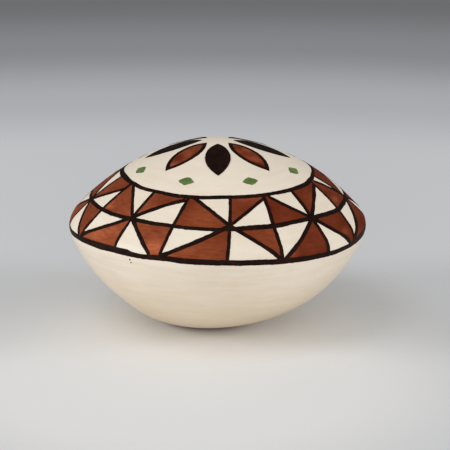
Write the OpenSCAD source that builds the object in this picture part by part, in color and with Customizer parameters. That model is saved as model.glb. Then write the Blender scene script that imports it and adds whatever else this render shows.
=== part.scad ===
// Seed pot of coiled and pinched clay: a round bowl below, a turned-in shoulder and a low dome
// above it, closed but for one small hole. A coat of white slip covers the clay, and carries a
// painted band of triangles round the dome and a painted rosette on the crown.
// Millimetres, +Z up. The origin is on the floor, on the pot's axis. The hole is on the +Y side.

/* [Body] */
// Widest diameter of the pot, over the slip
pot_d = 76; // [64:1:92]
// Depth of the bowl's round below the widest line, before the foot is flattened
bowl_h = 26.8; // [22:0.1:32]
// Height of the crown above the widest line
crown_h = 22; // [20:0.5:25]
// Radius of the turn at the shoulder, in section
shoulder_r = 4.8; // [3.8:0.1:6]
// Radius of the dome between the shoulder and the crown, in section
dome_r = 58.5; // [52:0.5:66]
// Radius of the rounded crown
crown_r = 31; // [28:0.5:35]
// Diameter of the bare flat that the pot stands on
foot_d = 21; // [14:0.5:26]
// Thickness of the clay wall
wall_t = 2.8; // [2:0.1:3.8]
// Thickness of the floor over the foot
floor_t = 3.6; // [2:0.1:6]

/* [Seed hole] */
// Diameter of the hole
mouth_d = 7; // [5:0.1:8.5]
// Distance of the hole from the pot's axis
mouth_off = 14; // [11:0.1:17]

/* [Coils] */
// Height of each of the two wall coils, along the surface
wall_coil_h = 12; // [9:0.5:14]
// Height of the first dome coil, along the surface
dome_coil_h = 15; // [12:0.5:18]
// Height of the cap that closes the dome, along the surface from its edge to the top
crown_cap_h = 9.4; // [7:0.1:12]

/* [Slip] */
// Thickness of the white slip
slip_t = 0.3; // [0.2:0.05:0.5]
// Height of the bare clay margin between the foot and the slip, along the surface
slip_margin = 2; // [1:0.1:4]

/* [Painted band] */
// Thickness of the paint
paint_t = 0.12; // [0.08:0.01:0.2]
// Height of the middle of the line at the shoulder, along the surface from the widest line
shoulder_line_at = 0.2; // [-0.5:0.1:1.5]
// Width of the line at the shoulder
shoulder_line_w = 1.3; // [0.8:0.1:2]
// Width of the line between the two rows of triangles
mid_line_w = 1; // [0.6:0.1:1.6]
// Width of the line round the crown
crown_line_w = 0.9; // [0.5:0.1:1.6]
// Width of the strokes across the rows
stroke_w = 0.8; // [0.5:0.1:1.4]
// Height of the lower row, along the surface, line to line
lower_row_h = 9.3; // [7:0.1:11]
// Height of the upper row, along the surface, line to line
upper_row_h = 9.5; // [7:0.1:11]
// Turn of an upright stroke's ends to either side of its middle, degrees
stroke_lean = 1.6; // [0:0.1:3]
// Turn by which two of a panel's four slanting strokes stop short of its corners, degrees
stop_short = 4.5; // [0:0.5:7]

/* [Painted rosette] */
// Distance of the petals' inner tips from the axis
petal_start = 4; // [2.5:0.1:6]
// Length of a petal
petal_l = 14.5; // [11:0.1:16]
// Bare slip between two petals, at their middles
petal_gap = 2.2; // [1:0.1:4]
// Width of the line round a red petal
petal_line_w = 1; // [0.6:0.1:1.5]
// Bare slip between the green lozenges and the line round the crown
lozenge_gap = 2.4; // [1:0.1:4]
// Length of a lozenge, round the pot
lozenge_l = 4.8; // [3:0.1:6]
// Width of a lozenge, towards the pot's axis
lozenge_w = 3; // [2:0.1:4]
// Bare slip on either side of the line round the hole
mouth_margin = 0.8; // [0.4:0.1:1.2]
// Width of the line round the hole
mouth_line_w = 0.9; // [0.5:0.1:1.2]

/* [Hidden] */
$fn = 180;

// Turn of each panel's left edge and of its hub, degrees from the front, as spaced by eye
panels = [
    [-64, -41], [-19.5, 5.3], [24.8, 44.6], [66.5, 84], [105, 124], [143, 162], [181, 200],
    [219, 238], [257.5, 276.5]
];
// Eight places round the rosette: the hole has one, and the petals have the others
petal_places = 8;
// Pieces of the profile shorter than this are left out
least_run = 0.001;
// The cuts at the ends of an arc reach this far past the layer on both sides
end_reach = 0.2;
// Numbers reach the exact model with six digits, so radii that are worked out are rounded to this
grain = 0.001;
// Strokes and fields run on past their ends by this factor, and are cut to the row
overrun = 1.2;

clay = "#a4674a";
slip_white = "#e9e0d0";
dark_brown = "#2b1b17";
red_brown = "#8c3e22";
leaf_green = "#5f7d41";

// Centres of the four tangent arcs of the profile, as radius and height above the widest line
pot_r = pot_d / 2;
shoulder_c = [pot_r - shoulder_r, 0];
crown_c = [0, crown_h - crown_r];

// The bowl's arc runs from under the axis into the shoulder's
bowl_depth = bowl_h - shoulder_r;
bowl_past_shoulder = rounded((shoulder_c.x ^ 2 + bowl_depth ^ 2) / (2 * bowl_depth));
bowl_r = shoulder_r + bowl_past_shoulder;
bowl_c = [0, sign(shoulder_c.x - bowl_depth) * sqrt(bowl_past_shoulder ^ 2 - shoulder_c.x ^ 2)];

// The dome's arc runs from the shoulder's into the crown's
dome_c = tangent_centre(shoulder_c, dome_r - shoulder_r, crown_c, dome_r - crown_r);

// Slopes of the surface's normal where the arcs meet
bowl_top = slope(bowl_c, shoulder_c);
dome_foot = slope(dome_c, shoulder_c);
dome_top = slope(dome_c, crown_c);

// Places on the profile are distances along the surface, up from the widest line
bowl_s = run(shoulder_r, bowl_top);
dome_s = run(shoulder_r, dome_foot);
crown_s = dome_s + run(dome_r, dome_top - dome_foot);
top_s = crown_s + run(crown_r, 90 - dome_top);
bottom_s = bowl_s - run(bowl_r, 90 + bowl_top);

// Arcs of the profile: centre, radius, slope where it starts, places where it starts and ends
arcs = [
    [bowl_c, bowl_r, -90, bottom_s, bowl_s],
    [shoulder_c, shoulder_r, bowl_top, bowl_s, dome_s],
    [dome_c, dome_r, dome_foot, dome_s, crown_s],
    [crown_c, crown_r, dome_top, crown_s, top_s]
];

// The clay under the slip is cut off flat at the foot, which sets the height of the widest line
clay_bowl_r = bowl_r - slip_t;
bowl_z = sqrt(clay_bowl_r ^ 2 - (foot_d / 2) ^ 2);
widest_z = bowl_z - bowl_c.y;
top_z = widest_z + crown_h + paint_t;
foot_s = bottom_s + run(bowl_r, asin(foot_d / 2 / clay_bowl_r));

// Joints between the coils
wall_joint_s = bowl_s - wall_coil_h;
base_rim_s = wall_joint_s - wall_coil_h;
dome_joint_s = dome_s + dome_coil_h;
cap_joint_s = top_s - crown_cap_h;

// Middles of the three lines round the pot, and the radius of each in plan
mid_line_s = shoulder_line_at + lower_row_h;
crown_line_s = mid_line_s + upper_row_h;
mid_line_r = plan_radius(mid_line_s);
crown_line_r = plan_radius(crown_line_s);

// The line round the hole, and the edge of the slip that stays bare outside it
mouth_line_in = mouth_d + 2 * mouth_margin;
mouth_line_out = mouth_line_in + 2 * mouth_line_w;
mouth_clear_d = mouth_line_out + 2 * mouth_margin;

// The hole is square to the surface
mouth_slope = acos((mouth_off - dome_c.x) / dome_r);
mouth_z = widest_z + dome_c.y + dome_r * sin(mouth_slope);

// Petals stand evenly round the axis, and each is bounded by two arcs
petal_turn = 360 / petal_places;
petal_middle = petal_start + petal_l / 2;
petal_w = 2 * petal_middle * sin(petal_turn / 2) - petal_gap;
lozenge_at = crown_line_r - crown_line_w / 2 - lozenge_gap - lozenge_w / 2;
petal_arc_r = (petal_l ^ 2 + petal_w ^ 2) / (4 * petal_w);

function slope(from, to) = atan2(to.y - from.y, to.x - from.x);
function run(radius, turn) = radius * turn * PI / 180;
function ray(turn) = [cos(turn), sin(turn)];
function rounded(length) = round(length / grain) * grain;
function at(radius, turn) = [radius * sin(turn), -radius * cos(turn)];
function past(from, to) = from + overrun * (to - from);

// Lower of the two points at distance da from point a and distance db from point b
function tangent_centre(a, da, b, db) =
    let (
        apart = norm(b - a),
        along = (apart ^ 2 + da ^ 2 - db ^ 2) / (2 * apart),
        aside = sqrt(da ^ 2 - along ^ 2),
        way = (b - a) / apart
    )
    a + along * way + aside * [-way.y, way.x];

// Slope of the normal, and distance from the axis, at a place on the dome
function dome_slope(s) = dome_foot + (s - dome_s) / dome_r * 180 / PI;
function plan_radius(s) = dome_c.x + dome_r * cos(dome_slope(s));

// Whether the stretch between two places has a part in the arc
function reaches(arc, s0, s1) = s1 > arc[3] + least_run && s0 < arc[4] - least_run;

// Slope of the normal at a place on an arc, and the point at the given height off the surface there
function arc_slope(arc, s) = arc[2] + (s - arc[3]) / arc[1] * 180 / PI;
function off_surface(arc, s, height) = arc[0] + (arc[1] + height) * ray(arc_slope(arc, s));

// Moves the child by a rounded step and then by what is left, so that no digit of the place is lost
module moved(place) {
    near = [rounded(place.x), rounded(place.y)];
    translate(near)
        translate(place - near)
            children();
}

// One arc of the profile between two places, from depth lo to height hi off the surface. Its ends
// are cut along the normals there, so that the next arc meets it edge to edge.
module arc_run(arc, s0, s1, lo, hi) {
    inside = lo - end_reach;
    outside = hi + end_reach;
    half_turn = (arc_slope(arc, s1) - arc_slope(arc, s0)) / 2;
    intersection() {
        moved(arc[0])
            difference() {
                circle(r = arc[1] + hi);
                circle(r = arc[1] + lo);
            }
        polygon([
            off_surface(arc, s0, inside), off_surface(arc, s0, outside),
            arc[0] + (arc[1] + outside) / cos(half_turn) * ray(arc_slope(arc, (s0 + s1) / 2)),
            off_surface(arc, s1, outside), off_surface(arc, s1, inside)
        ]);
    }
}

// A layer round the whole pot between two places on the profile. It starts and ends its turn
// between two petals.
module layer(s0, s1, lo, hi) {
    translate([0, 0, widest_z])
        rotate(petal_turn / 2)
            rotate_extrude()
                for (arc = arcs)
                    if (reaches(arc, s0, s1))
                        arc_run(arc, max(s0, arc[3]), min(s1, arc[4]), lo, hi);
}

module clay_layer(s0, s1) {
    layer(s0, s1, -slip_t - wall_t, -slip_t);
}

module paint_line(middle, width) {
    color(dark_brown)
        layer(middle - width / 2, middle + width / 2, 0, paint_t);
}

// A cylinder on the axis of the hole, through the whole wall
module mouth_bar(diameter) {
    translate([0, mouth_off, mouth_z])
        rotate([mouth_slope - 90, 0, 0])
            cylinder(d = diameter, h = 2 * mouth_d, center = true);
}

// The part of the child that lies in the layer of paint between two places
module painted(s0, s1) {
    for (arc = arcs)
        if (reaches(arc, s0, s1))
            intersection() {
                layer(max(s0, arc[3]), min(s1, arc[4]), 0, paint_t);
                children();
            }
}

// What the child draws in plan, drawn up through the whole pot
module plan() {
    linear_extrude(top_z)
        children();
}

module stroke(from, to) {
    translate(from)
        rotate(slope(from, to))
            translate([0, -stroke_w / 2])
                square([norm(to - from), stroke_w]);
}

// Corners of the panel with the given number, in plan
function left_edge(i) = panels[i][0];
function hub(i) = at(mid_line_r, panels[i][1]);
function right_edge(i) = i + 1 < len(panels) ? panels[i + 1][0] : panels[0][0] + 360;
function upper(turn) = at(crown_line_r, turn + stroke_lean);
function lower(turn) = at(pot_r, turn - stroke_lean);

module upper_stroke_plan() {
    for (i = [0:len(panels) - 1]) {
        stroke(past(upper(left_edge(i)), at(mid_line_r, left_edge(i))), upper(left_edge(i)));
        stroke(past(upper(panels[i][1]), hub(i)), upper(panels[i][1]));
        stroke(hub(i), past(hub(i), upper(left_edge(i) + stop_short)));
        stroke(hub(i), past(hub(i), upper(right_edge(i))));
    }
}

module lower_stroke_plan() {
    for (i = [0:len(panels) - 1]) {
        stroke(at(mid_line_r, left_edge(i)), past(at(mid_line_r, left_edge(i)), lower(left_edge(i))));
        stroke(hub(i), past(hub(i), lower(panels[i][1])));
        stroke(hub(i), past(hub(i), lower(left_edge(i))));
        stroke(hub(i), past(hub(i), lower(right_edge(i) - stop_short)));
    }
}

module upper_triangle_plan() {
    for (i = [0:len(panels) - 1]) {
        edge = at(mid_line_r, left_edge(i));
        polygon([
            hub(i), upper(left_edge(i) + stop_short), upper(left_edge(i)), edge,
            overrun * (edge + hub(i)) / 2
        ]);
        polygon([hub(i), upper(panels[i][1]), upper(right_edge(i))]);
    }
}

module lower_triangle_plan() {
    for (i = [0:len(panels) - 1]) {
        edge = at(mid_line_r, right_edge(i));
        polygon([
            hub(i), edge, past(edge, lower(right_edge(i))),
            past(hub(i), lower(right_edge(i) - stop_short))
        ]);
        polygon([hub(i), past(hub(i), lower(left_edge(i))), past(hub(i), lower(panels[i][1]))]);
    }
}

module upper_row() {
    painted(mid_line_s + mid_line_w / 2, crown_line_s - crown_line_w / 2)
        plan()
            children();
}

module lower_row() {
    painted(shoulder_line_at + shoulder_line_w / 2, mid_line_s - mid_line_w / 2)
        plan()
            children();
}

// The crown inside the line round it
module crown_field() {
    painted(crown_line_s + crown_line_w / 2, top_s)
        children();
}

// What the child draws in plan on the crown, clear of the hole and its line
module rosette() {
    crown_field()
        difference() {
            plan()
                children();
            mouth_bar(mouth_clear_d);
        }
}

// A petal in plan, pointing away from the axis, smaller all round by the inset
module petal_plan(inset = 0) {
    translate([petal_middle, 0])
        intersection_for (side = [-1, 1])
            translate([0, side * (petal_arc_r - petal_w / 2)])
                circle(r = petal_arc_r - inset);
}

// Every second place from the given one, counted round from the hole, which has place 0
module petal_ring(first) {
    for (place = [first:2:petal_places - 1])
        rotate(90 + place * petal_turn)
            children();
}

module base_bowl() {
    rim = [0, bowl_z] + bowl_r * ray(-90 + (base_rim_s - bottom_s) / bowl_r * 180 / PI);
    color(clay)
        rotate_extrude()
            difference() {
                intersection() {
                    translate([0, bowl_z])
                        circle(r = clay_bowl_r);
                    polygon([[0, 0], [rim.x, 0], rim, [0, bowl_z]]);
                }
                intersection() {
                    translate([0, bowl_z])
                        circle(r = clay_bowl_r - wall_t);
                    translate([0, floor_t])
                        square([pot_r, top_z]);
                }
            }
}

module wall_coil_lower() {
    color(clay)
        clay_layer(base_rim_s, wall_joint_s);
}

module wall_coil_upper() {
    color(clay)
        clay_layer(wall_joint_s, bowl_s);
}

module shoulder_coil() {
    color(clay)
        clay_layer(bowl_s, dome_s);
}

module dome_coil() {
    color(clay)
        difference() {
            clay_layer(dome_s, dome_joint_s);
            mouth_bar(mouth_d);
        }
}

module mouth_coil() {
    color(clay)
        difference() {
            clay_layer(dome_joint_s, cap_joint_s);
            mouth_bar(mouth_d);
        }
}

module crown_cap() {
    color(clay)
        difference() {
            clay_layer(cap_joint_s, top_s);
            mouth_bar(mouth_d);
        }
}

module white_slip() {
    color(slip_white)
        difference() {
            layer(foot_s + slip_margin, top_s, -slip_t, 0);
            mouth_bar(mouth_d);
        }
}

module shoulder_line() {
    paint_line(shoulder_line_at, shoulder_line_w);
}

module mid_line() {
    paint_line(mid_line_s, mid_line_w);
}

module crown_line() {
    paint_line(crown_line_s, crown_line_w);
}

module lower_strokes() {
    color(dark_brown)
        lower_row()
            lower_stroke_plan();
}

module upper_strokes() {
    color(dark_brown)
        upper_row()
            upper_stroke_plan();
}

module lower_red_triangles() {
    color(red_brown)
        lower_row()
            difference() {
                lower_triangle_plan();
                lower_stroke_plan();
            }
}

module upper_red_triangles() {
    color(red_brown)
        upper_row()
            difference() {
                upper_triangle_plan();
                upper_stroke_plan();
            }
}

module dark_petals() {
    color(dark_brown)
        rosette()
            petal_ring(2)
                petal_plan();
}

module red_petal_lines() {
    color(dark_brown)
        rosette()
            petal_ring(1)
                difference() {
                    petal_plan();
                    petal_plan(petal_line_w);
                }
}

module red_petals() {
    color(red_brown)
        rosette()
            petal_ring(1)
                petal_plan(petal_line_w);
}

module green_lozenges() {
    color(leaf_green)
        rosette()
            for (place = [0:petal_places - 1])
                rotate(90 + (place + 0.5) * petal_turn)
                    translate([lozenge_at, 0])
                        polygon([
                            [0, -lozenge_l / 2], [lozenge_w / 2, 0], [0, lozenge_l / 2],
                            [-lozenge_w / 2, 0]
                        ]);
}

module mouth_line() {
    color(dark_brown)
        crown_field()
            difference() {
                mouth_bar(mouth_line_out);
                mouth_bar(mouth_line_in);
            }
}

base_bowl();
wall_coil_lower();
wall_coil_upper();
shoulder_coil();
dome_coil();
mouth_coil();
crown_cap();
white_slip();
shoulder_line();
mid_line();
crown_line();
lower_strokes();
upper_strokes();
lower_red_triangles();
upper_red_triangles();
dark_petals();
red_petal_lines();
red_petals();
green_lozenges();
mouth_line();
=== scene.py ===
import math

import bmesh
import bpy
from mathutils import Matrix, Vector, noise


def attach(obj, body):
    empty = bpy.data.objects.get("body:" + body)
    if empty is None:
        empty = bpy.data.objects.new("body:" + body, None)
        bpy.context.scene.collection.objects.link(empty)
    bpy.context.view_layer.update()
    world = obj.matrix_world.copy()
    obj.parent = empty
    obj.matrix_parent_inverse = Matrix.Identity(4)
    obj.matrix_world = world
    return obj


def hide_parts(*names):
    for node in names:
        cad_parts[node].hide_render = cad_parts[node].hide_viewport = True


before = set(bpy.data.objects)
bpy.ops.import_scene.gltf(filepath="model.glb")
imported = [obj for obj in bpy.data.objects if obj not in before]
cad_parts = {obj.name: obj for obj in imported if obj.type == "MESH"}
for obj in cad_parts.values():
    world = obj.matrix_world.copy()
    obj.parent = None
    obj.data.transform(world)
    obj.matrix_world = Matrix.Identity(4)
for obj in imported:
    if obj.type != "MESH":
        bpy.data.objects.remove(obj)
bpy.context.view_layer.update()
scene = bpy.context.scene
scene.view_settings.view_transform = "Standard"
mm = 0.001
tiny = 1e-6  # values that differ by less than this count as the same


# Camera: low and from the front, with a long lens, looking at the middle of the pot's widest line
view = {
    "aim": Vector((0, 0, 25.12)), "distance": 600.15, "elevation": 15.16,
    "lens": 186.6, "sensor": 36.0, "nearest": 10.0,
    "shift": (0.0163, -0.005),  # the pot stands a little left of the middle and above it
}

eye = bpy.data.objects.new("camera", bpy.data.cameras.new("camera"))
scene.collection.objects.link(eye)
raised = math.radians(view["elevation"])
eye.location = (view["aim"] + view["distance"] * Vector((0, -math.cos(raised), math.sin(raised)))) * mm
eye.rotation_euler = (math.pi / 2 - raised, 0, 0)
eye.data.lens = view["lens"]
eye.data.sensor_width = view["sensor"]
eye.data.shift_x, eye.data.shift_y = view["shift"]
eye.data.clip_start = view["nearest"] * mm
scene.camera = eye
print("camera set")


# Form of the pot in millimetres: four tangent arcs, as in the solids, and what the hands left
form = {
    "potR": 38.0, "bowlH": 26.8, "crownH": 22.0,  # widest line, bowl's arc below it, crown above it
    "shoulderR": 4.8, "domeR": 58.5, "crownR": 31.0, "footR": 10.5,
    "wallT": 2.8, "floorT": 3.6, "wallCoilH": 12.0,
    "slipT": 0.3, "slipMargin": 2.0,  # the slip stops this far outside the foot's edge
    "lean": -3.2, "leanBelow": 10.0,  # the foot is this far off the axis, leaning below this height
    "dent": 0.12, "dentSpread": 24.0,  # depth and spread of the dents left by the fingers
    "flatUpTo": 8.0,  # the dents fade out below this height
    "footEase": 0.5, "footEaseFrom": 0.62, "footEaseUpTo": 3.0,  # rise of the foot's rounded edge
}

shoulderC = Vector((form["potR"] - form["shoulderR"], 0))
crownC = Vector((0, form["crownH"] - form["crownR"]))
bowlDepth = form["bowlH"] - form["shoulderR"]
bowlC = Vector((0, (shoulderC.x ** 2 - bowlDepth ** 2) / (2 * bowlDepth)))
bowlR = form["bowlH"] + bowlC.y
toCrown = crownC - shoulderC
domeArm = form["domeR"] - form["shoulderR"]
crownArm = form["domeR"] - form["crownR"]
armTurn = math.acos((toCrown.length ** 2 + domeArm ** 2 - crownArm ** 2) / (2 * toCrown.length * domeArm))
domeC = shoulderC + domeArm * (Matrix.Rotation(armTurn, 2) @ toCrown.normalized())


def slopeOf(way):
    return math.atan2(way.y, way.x)


# Slopes of the surface's normal where the arcs meet, and distances along the surface, up from the widest line
bowlTop = slopeOf(shoulderC - bowlC)
domeFoot = slopeOf(shoulderC - domeC)
domeTop = slopeOf(crownC - domeC)
bowlEnd = form["shoulderR"] * bowlTop
domeStart = form["shoulderR"] * domeFoot
crownStart = domeStart + form["domeR"] * (domeTop - domeFoot)
potBottom = bowlEnd - bowlR * (math.pi / 2 + bowlTop)
arcs = [
    (bowlC, bowlR, -math.pi / 2, potBottom),
    (shoulderC, form["shoulderR"], bowlTop, bowlEnd),
    (domeC, form["domeR"], domeFoot, domeStart),
    (crownC, form["crownR"], domeTop, crownStart),
]
clayBowlR = bowlR - form["slipT"]
bowlZ = math.sqrt(clayBowlR ** 2 - form["footR"] ** 2)
widestZ = bowlZ - bowlC.y
footAt = potBottom + bowlR * math.asin(form["footR"] / clayBowlR)
slipFoot = footAt + form["slipMargin"]


def profile(along, lift=0.0):
    centre, radius, startSlope, start = next(arc for arc in reversed(arcs) if along >= arc[3])
    slope = startSlope + (along - start) / radius
    return (
        centre.x + (radius + lift) * math.cos(slope),
        widestZ + centre.y + (radius + lift) * math.sin(slope),
    )


# Point on the pot: turn in degrees from the front to the right, distance along the surface, height off it
def onPot(turn, along, lift=0.0):
    out, up = profile(along, lift)
    turn = math.radians(turn)
    return Vector((out * math.sin(turn), -out * math.cos(turn), up)) * mm


# Point on the dome or the crown over a place in plan
def onPlan(x, y, lift=0.0):
    out = math.hypot(x, y)
    if out < form["crownR"] * math.cos(domeTop):
        along = crownStart + form["crownR"] * (math.acos(out / form["crownR"]) - domeTop)
    else:
        along = domeStart + form["domeR"] * (math.acos((out - domeC.x) / form["domeR"]) - domeFoot)
    return onPot(math.degrees(math.atan2(x, -y)), along, lift)


# The same unevenness goes into clay, slip and paint, so that they keep to each other
def handFormed(point):
    p = point / mm
    dent = form["dent"] * noise.noise(p / form["dentSpread"]) * min(1, p.z / form["flatUpTo"])
    low = max(0, 1 - p.z / form["leanBelow"])
    away = (p - Vector((0, 0, widestZ))).normalized()
    outwards = math.hypot(p.x, p.y) / form["footR"]
    eased = min(1, max(0, (outwards - form["footEaseFrom"]) / (1 - form["footEaseFrom"])))
    rise = form["footEase"] * eased ** 2 * max(0, 1 - p.z / form["footEaseUpTo"])
    return (p + dent * away + Vector((form["lean"] * low ** 2, 0, rise))) * mm


# Materials. Colours are sRGB hex values, made linear here
def linear(code):
    channels = [int(code[i:i + 2], 16) / 255 for i in (1, 3, 5)]
    return [c / 12.92 if c <= 0.04045 else ((c + 0.055) / 1.055) ** 2.4 for c in channels] + [1]


def scaleFor(size):
    return 1 / (size * mm)  # texture scale for a pattern of this size in millimetres


# A Mix node has several inputs of one name, so they go by their place: share, two values, two colours
mixShare, mixA, mixB, mixColourA, mixColourB = 0, 2, 3, 6, 7
mixedColour = 2  # its output for colours


def addNode(tree, kind, inputs=None, **settings):
    node = tree.nodes.new(kind)
    for name, value in settings.items():
        setattr(node, name, value)
    for socket, value in (inputs or {}).items():
        if isinstance(value, bpy.types.NodeSocket):
            tree.links.new(value, node.inputs[socket])
        else:
            node.inputs[socket].default_value = value
    return node


def startMaterial(name):
    material = bpy.data.materials.new(name)
    material.use_nodes = True
    tree = material.node_tree
    tree.nodes.clear()
    return material, tree, addNode(tree, "ShaderNodeTexCoord").outputs["Object"]


def endMaterial(tree, shader):
    addNode(tree, "ShaderNodeOutputMaterial", {"Surface": shader.outputs[0]})


# Kaolin slip, brushed on and rubbed with a polishing stone: a white with some warmth, satin, with faint bands
# round the pot from the stone, a few specks, and low on the bowl a warmer, darker tone: the clay's warmth
# coming through, and painted shade that darkens the underside of the bowl
slipLook = {
    # the warm colour is painted shade as well as the clay's warmth: it darkens the slip low on the bowl
    "pale": "#f1e5d4", "cream": "#e9dbc6", "warmShade": "#d9c6a5", "speck": "#b9a384",
    "mottle": 11.0, "band": 1.1, "grit": 0.45,
    "bandStretch": 0.1, "bandShare": 0.5,  # the bands run round the pot, and share the cream with the mottle
    "creamOver": {"From Min": 0.36, "From Max": 0.64},
    # painted shade: below this height the slip turns darker and warmer, for the shade under the bowl as well
    # as the clay's warmth
    "lowDownPaintedShade": {"From Min": 0.0, "From Max": 25.0 * mm, "To Min": 0.5, "To Max": 0.0},
    "specks": {"From Min": 0.74, "From Max": 0.8, "To Min": 0.0, "To Max": 0.5},
    "satin": {"From Min": 0.3, "From Max": 0.7, "To Min": 0.52, "To Max": 0.64},
    "ridges": {"Strength": 0.2, "Distance": 0.04 * mm},
    "finish": {"IOR": 1.48, "Specular IOR Level": 0.28},
}


def polishedSlip():
    material, tree, coords = startMaterial("stone_polished_kaolin_slip")
    mottle = addNode(tree, "ShaderNodeTexNoise", {
        "Vector": coords, "Scale": scaleFor(slipLook["mottle"]), "Detail": 4.0, "Roughness": 0.6})
    stretch = slipLook["bandStretch"]
    roundPot = addNode(tree, "ShaderNodeMapping", {"Vector": coords, "Scale": (stretch, stretch, 1.0)})
    bands = addNode(tree, "ShaderNodeTexNoise", {
        "Vector": roundPot.outputs[0], "Scale": scaleFor(slipLook["band"]), "Detail": 3.0})
    uneven = addNode(tree, "ShaderNodeMix", {
        mixShare: slipLook["bandShare"], mixA: mottle.outputs[0], mixB: bands.outputs[0]})
    creamed = addNode(tree, "ShaderNodeMapRange", {"Value": uneven.outputs[0], **slipLook["creamOver"]})
    cream = addNode(tree, "ShaderNodeMix", {
        mixShare: creamed.outputs[0], mixColourA: linear(slipLook["pale"]),
        mixColourB: linear(slipLook["cream"])}, data_type="RGBA")
    height = addNode(tree, "ShaderNodeSeparateXYZ", {"Vector": coords})
    # painted shade: the slip is made darker and warmer towards the foot, partly the clay's warmth, partly
    # shade painted into the colour
    low = addNode(tree, "ShaderNodeMapRange", {
        "Value": height.outputs["Z"], **slipLook["lowDownPaintedShade"]}, interpolation_type="SMOOTHSTEP")
    warmedAndShaded = addNode(tree, "ShaderNodeMix", {
        mixShare: low.outputs[0], mixColourA: cream.outputs[mixedColour],
        mixColourB: linear(slipLook["warmShade"])}, data_type="RGBA")
    grit = addNode(tree, "ShaderNodeTexNoise", {
        "Vector": coords, "Scale": scaleFor(slipLook["grit"]), "Detail": 1.0})
    specks = addNode(tree, "ShaderNodeMapRange", {"Value": grit.outputs[0], **slipLook["specks"]})
    colour = addNode(tree, "ShaderNodeMix", {
        mixShare: specks.outputs[0], mixColourA: warmedAndShaded.outputs[mixedColour],
        mixColourB: linear(slipLook["speck"])}, data_type="RGBA")
    satin = addNode(tree, "ShaderNodeMapRange", {"Value": bands.outputs[0], **slipLook["satin"]})
    ridges = addNode(tree, "ShaderNodeBump", {"Height": bands.outputs[0], **slipLook["ridges"]})
    endMaterial(tree, addNode(tree, "ShaderNodeBsdfPrincipled", {
        "Base Color": colour.outputs[mixedColour], "Roughness": satin.outputs[0],
        "Normal": ridges.outputs[0], **slipLook["finish"]}))
    return material


# Boiled plant and iron paint: brown-black, thin, with browner patches where the brush ran dry
darkLook = {
    "deep": "#1b0c07", "brown": "#2b160d",
    "patch": 2.2, "grain": 0.3,  # the grain is coarser than the paint's own, so that it shows
    "brownOver": {"From Min": 0.45, "From Max": 0.75},
    "tooth": {"Strength": 0.15, "Distance": 0.03 * mm},
    "finish": {"Roughness": 0.55, "IOR": 1.5, "Specular IOR Level": 0.07},
}


def darkPaint():
    material, tree, coords = startMaterial("brown_black_mineral_paint")
    patch = addNode(tree, "ShaderNodeTexNoise", {
        "Vector": coords, "Scale": scaleFor(darkLook["patch"]), "Detail": 3.0})
    browned = addNode(tree, "ShaderNodeMapRange", {"Value": patch.outputs[0], **darkLook["brownOver"]})
    colour = addNode(tree, "ShaderNodeMix", {
        mixShare: browned.outputs[0], mixColourA: linear(darkLook["deep"]),
        mixColourB: linear(darkLook["brown"])}, data_type="RGBA")
    grain = addNode(tree, "ShaderNodeTexNoise", {
        "Vector": coords, "Scale": scaleFor(darkLook["grain"]), "Detail": 2.0})
    tooth = addNode(tree, "ShaderNodeBump", {"Height": grain.outputs[0], **darkLook["tooth"]})
    endMaterial(tree, addNode(tree, "ShaderNodeBsdfPrincipled", {
        "Base Color": colour.outputs[mixedColour], "Normal": tooth.outputs[0], **darkLook["finish"]}))
    return material


# Red clay paint, brushed on in one coat: matt red-brown, darker where it pooled and orange where it is thin
redLook = {
    "pooled": "#541c0a", "coat": "#63240e", "thin": "#b5623e", "pool": 2.2,
    "brushMark": 0.5, "markStretch": 0.25,  # the brush was dragged along the band
    "coatOver": {"From Min": 0.3, "From Max": 0.55},
    "streaks": {"From Min": 0.3, "From Max": 0.7, "To Min": 0.72, "To Max": 1.28},
    "tooth": {"Strength": 0.2, "Distance": 0.03 * mm},
    "finish": {"Roughness": 0.75, "IOR": 1.45, "Specular IOR Level": 0.06},
}


def redPaint():
    material, tree, coords = startMaterial("red_clay_paint")
    pool = addNode(tree, "ShaderNodeTexNoise", {
        "Vector": coords, "Scale": scaleFor(redLook["pool"]), "Detail": 3.0, "Roughness": 0.6})
    coated = addNode(tree, "ShaderNodeMapRange", {"Value": pool.outputs[0], **redLook["coatOver"]})
    coat = addNode(tree, "ShaderNodeMix", {
        mixShare: coated.outputs[0], mixColourA: linear(redLook["pooled"]),
        mixColourB: linear(redLook["coat"])}, data_type="RGBA")
    stretch = redLook["markStretch"]
    dragged = addNode(tree, "ShaderNodeMapping", {"Vector": coords, "Scale": (stretch, stretch, 1.0)})
    marks = addNode(tree, "ShaderNodeTexNoise", {
        "Vector": dragged.outputs[0], "Scale": scaleFor(redLook["brushMark"]), "Detail": 2.0})
    wash = addNode(tree, "ShaderNodeAttribute", attribute_name="thinPaint")
    streaks = addNode(tree, "ShaderNodeMapRange", {"Value": marks.outputs[0], **redLook["streaks"]})
    thin = addNode(tree, "ShaderNodeMath", {
        0: wash.outputs["Fac"], 1: streaks.outputs[0]}, operation="MULTIPLY")
    colour = addNode(tree, "ShaderNodeMix", {
        mixShare: thin.outputs[0], mixColourA: coat.outputs[mixedColour],
        mixColourB: linear(redLook["thin"])}, data_type="RGBA")
    tooth = addNode(tree, "ShaderNodeBump", {"Height": marks.outputs[0], **redLook["tooth"]})
    endMaterial(tree, addNode(tree, "ShaderNodeBsdfPrincipled", {
        "Base Color": colour.outputs[mixedColour], "Normal": tooth.outputs[0], **redLook["finish"]}))
    return material


# Green mineral paint: soft leaf green, uneven from the brush
greenLook = {
    "full": "#56703a", "thin": "#768a50", "patch": 1.4,
    "thinOver": {"From Min": 0.4, "From Max": 0.7},
    "finish": {"Roughness": 0.75, "IOR": 1.45, "Specular IOR Level": 0.2},
}


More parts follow.
